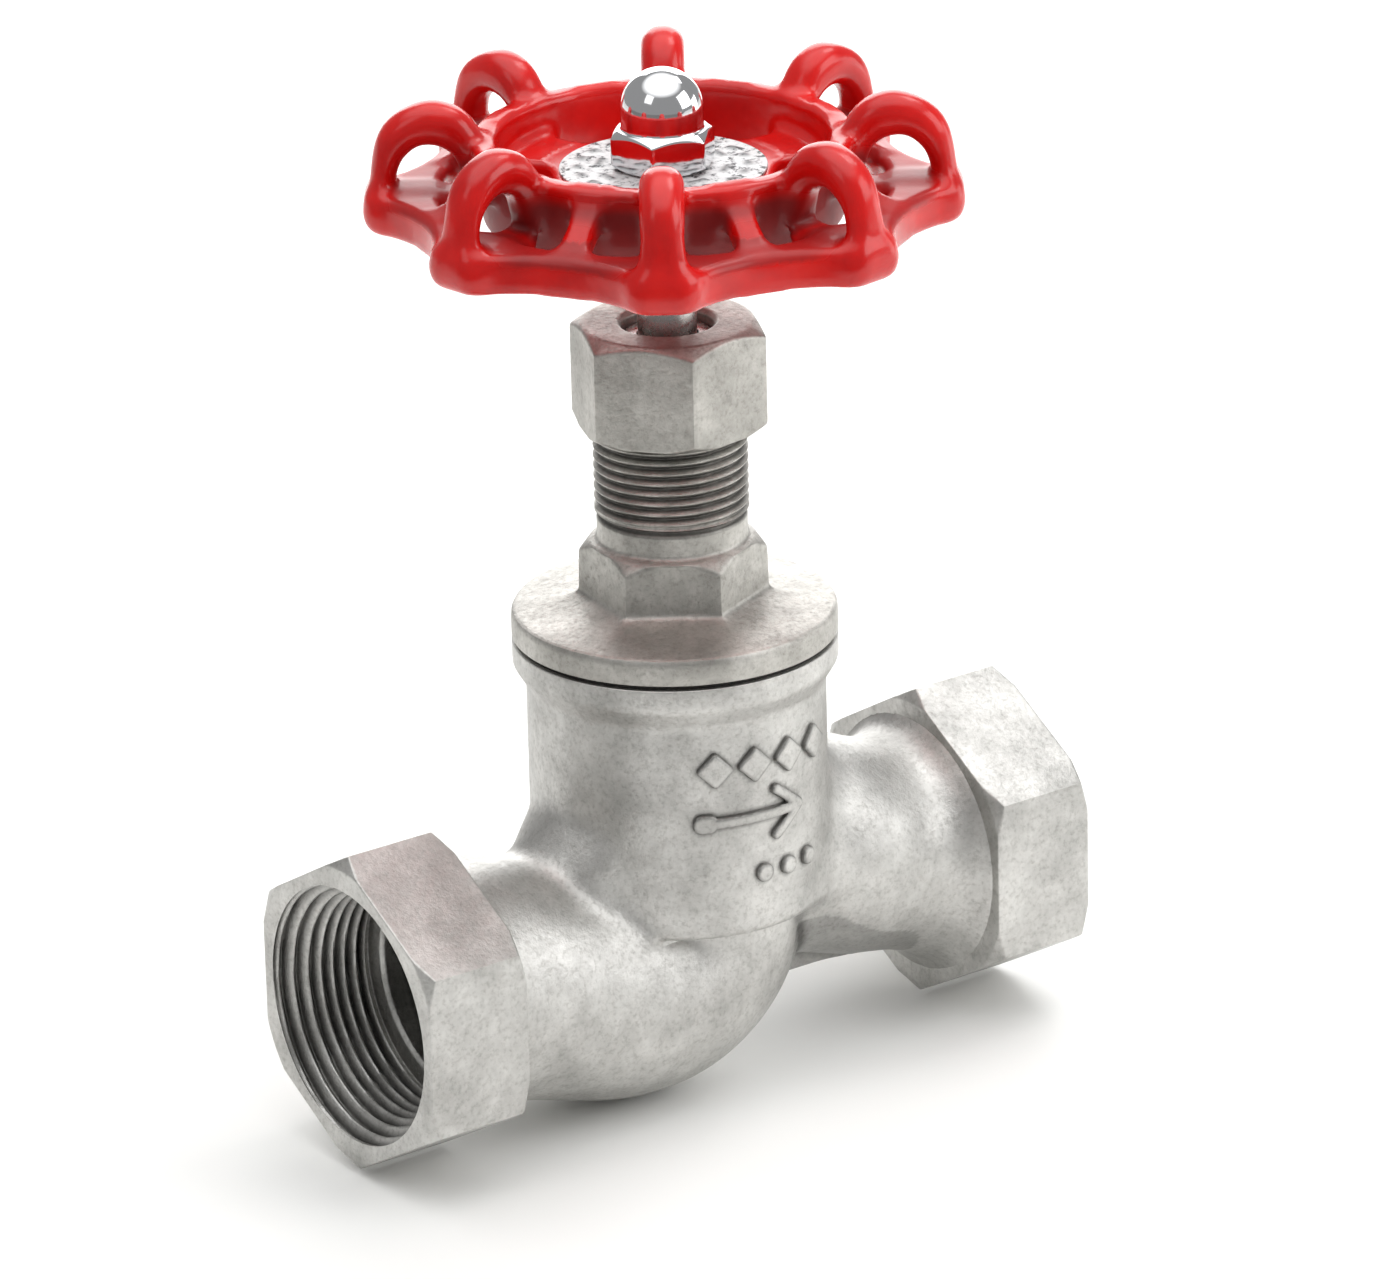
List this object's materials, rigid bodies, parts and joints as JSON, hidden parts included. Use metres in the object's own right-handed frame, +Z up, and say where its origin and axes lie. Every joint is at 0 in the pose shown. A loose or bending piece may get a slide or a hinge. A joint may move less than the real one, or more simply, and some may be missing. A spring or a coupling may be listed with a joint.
{
  "type": "globe valve",
  "caption": "Screw-down stop valve with internally threaded hexagon ends, threaded bonnet, gland nut and lobed handwheel.",
  "frame": {"origin": "centre of the inlet port's mouth, on the pipe axis", "axes": "+X along the pipe axis from inlet to outlet, +Z up the stem towards the handwheel, which stands at x = 70 mm"},
  "size_m": [0.14, 0.1006, 0.1821],
  "materials": {
    "cast_stainless": "satin",
    "machined_casting": "satin",
    "turned_stainless": "satin",
    "ptfe": "satin",
    "gasket": "matte",
    "red_enamel": "gloss",
    "nameplate": "satin",
    "chrome": "polished"
  },
  "bodies": {
    "casing": {"valve_body": "cast_stainless", "bonnet_gasket": "gasket", "bonnet": "machined_casting", "packing_washer": "turned_stainless", "packing_ring_1": "ptfe", "packing_ring_2": "ptfe", "packing_ring_3": "ptfe", "packing_ring_4": "ptfe", "packing_ring_5": "ptfe", "gland_follower": "turned_stainless", "gland_nut": "machined_casting"},
    "disc_carrier": {"disc_holder": "turned_stainless", "disc_seal": "ptfe", "seal_washer": "turned_stainless", "seal_screw": "turned_stainless", "disc_nut": "turned_stainless"},
    "spindle": {"stem": "turned_stainless", "handwheel": "red_enamel", "nameplate": "nameplate", "cap_nut": "chrome"}
  },
  "joints": [
    {"name": "disc_lift", "type": "slide", "parent": "casing", "child": "disc_carrier", "axis": [0, 0, 1], "range_m": [0, 0.0101]},
    {"name": "stem_turn", "type": "hinge", "parent": "disc_carrier", "child": "spindle", "pos_m": [0.07, 0, 0.122], "axis": [0, 0, 1], "range_deg": [0, 1200]}
  ],
  "couplings": [
    {"joint": "disc_lift", "follows": "stem_turn", "m_per_rad": 0.00047746}
  ]
}
